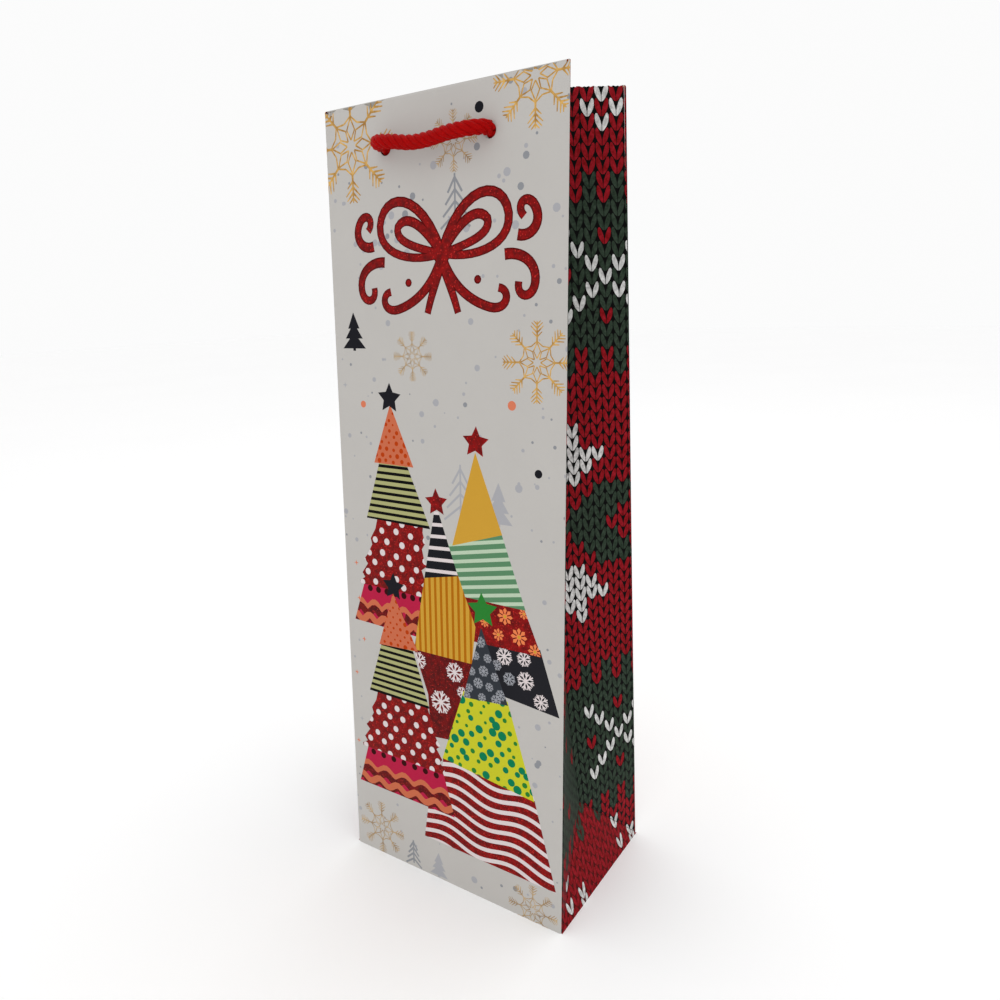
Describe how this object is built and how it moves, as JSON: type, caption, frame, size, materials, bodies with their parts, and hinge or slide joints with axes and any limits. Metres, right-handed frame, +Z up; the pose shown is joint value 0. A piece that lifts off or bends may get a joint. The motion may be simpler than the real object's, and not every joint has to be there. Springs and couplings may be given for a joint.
{
  "type": "wine gift bag",
  "caption": "Tall paper gift bag for a bottle, with folded-in side gussets, a turned-in mouth, a stiff base card and short twisted rope handles.",
  "frame": {"origin": "centre of the base, on the surface the bag stands on", "axes": "+X to the right across the front panel, +Y from the front panel to the back panel, +Z up to the mouth"},
  "size_m": [0.124, 0.082, 0.3596],
  "materials": {
    "printed_paper": "matt laminated art paper, printed, with glitter and gold foil accents",
    "knit_print_paper": "matt laminated art paper printed with a knitted pattern",
    "plain_paper": "uncoated white inner face",
    "card": "grey board",
    "rope": "twisted red cotton rope"
  },
  "bodies": {
    "base": {"back_base_flap": "plain_paper", "front_base_flap": "plain_paper", "right_base_flap": "plain_paper", "left_base_flap": "plain_paper", "base_card": "card"},
    "front_wall": {"front_panel": "printed_paper", "front_hem": "plain_paper", "front_hem_card": "card", "front_rope_tail_left": "rope", "front_rope_tail_right": "rope", "front_knot_left": "rope", "front_knot_right": "rope"},
    "back_wall": {"back_panel": "printed_paper", "back_hem": "plain_paper", "back_hem_card": "card", "side_seam_lap": "plain_paper", "back_rope_tail_left": "rope", "back_rope_tail_right": "rope", "back_knot_left": "rope", "back_knot_right": "rope"},
    "front_grip": {"front_handle_rope": "rope"},
    "back_grip": {"back_handle_rope": "rope"},
    "right_foot": {"right_gusset_foot": "knit_print_paper"},
    "left_foot": {"left_gusset_foot": "knit_print_paper"},
    "right_front_half": {"right_front_gusset": "knit_print_paper", "right_front_gusset_hem": "plain_paper"},
    "right_rear_half": {"right_rear_gusset": "knit_print_paper", "right_rear_gusset_hem": "plain_paper"},
    "left_front_half": {"left_front_gusset": "knit_print_paper", "left_front_gusset_hem": "plain_paper"},
    "left_rear_half": {"left_rear_gusset": "knit_print_paper", "left_rear_gusset_hem": "plain_paper"}
  },
  "joints": [
    {"name": "front_wall_lean", "type": "hinge", "parent": "base", "child": "front_wall", "pos_m": [0, -0.041, 0], "axis": [-1, 0, 0], "range_deg": [-1.5, 2]},
    {"name": "back_wall_lean", "type": "hinge", "parent": "base", "child": "back_wall", "pos_m": [0, 0.041, 0], "axis": [1, 0, 0], "range_deg": [-1.5, 2]},
    {"name": "right_front_crease", "type": "hinge", "parent": "front_wall", "child": "right_front_half", "pos_m": [0.062, -0.0395, -0.00007], "axis": [0, 0.0475, 0.9989], "range_deg": [-15.85, 21.1]},
    {"name": "left_front_crease", "type": "hinge", "parent": "front_wall", "child": "left_front_half", "pos_m": [-0.062, -0.0395, -0.00007], "axis": [0, -0.0475, -0.9989], "range_deg": [-15.85, 21.1]},
    {"name": "right_rear_crease", "type": "hinge", "parent": "back_wall", "child": "right_rear_half", "pos_m": [0.062, 0.0395, -0.00007], "axis": [0, 0.0475, -0.9989], "range_deg": [-15.85, 21.1]},
    {"name": "left_rear_crease", "type": "hinge", "parent": "back_wall", "child": "left_rear_half", "pos_m": [-0.062, 0.0395, -0.00007], "axis": [0, -0.0475, 0.9989], "range_deg": [-15.85, 21.1]},
    {"name": "right_foot_crease", "type": "hinge", "parent": "base", "child": "right_foot", "pos_m": [0.062, 0, 0], "axis": [0, -1, 0], "range_deg": [-4.9, 6.5]},
    {"name": "left_foot_crease", "type": "hinge", "parent": "base", "child": "left_foot", "pos_m": [-0.062, 0, 0], "axis": [0, 1, 0], "range_deg": [-4.9, 6.5]},
    {"name": "front_handle_swing", "type": "hinge", "parent": "front_wall", "child": "front_grip", "pos_m": [0, -0.02789, 0.34126], "axis": [-1, 0, 0], "range_deg": [-30, 35]},
    {"name": "back_handle_swing", "type": "hinge", "parent": "back_wall", "child": "back_grip", "pos_m": [0, 0.02789, 0.34126], "axis": [1, 0, 0], "range_deg": [-30, 35]}
  ],
  "couplings": [
    {"joint": "back_wall_lean", "follows": "front_wall_lean", "ratio": 1},
    {"joint": "right_front_crease", "follows": "front_wall_lean", "ratio": 10.5},
    {"joint": "left_front_crease", "follows": "front_wall_lean", "ratio": 10.5},
    {"joint": "right_rear_crease", "follows": "front_wall_lean", "ratio": 10.5},
    {"joint": "left_rear_crease", "follows": "front_wall_lean", "ratio": 10.5},
    {"joint": "right_foot_crease", "follows": "front_wall_lean", "ratio": 3.2},
    {"joint": "left_foot_crease", "follows": "front_wall_lean", "ratio": 3.2}
  ]
}
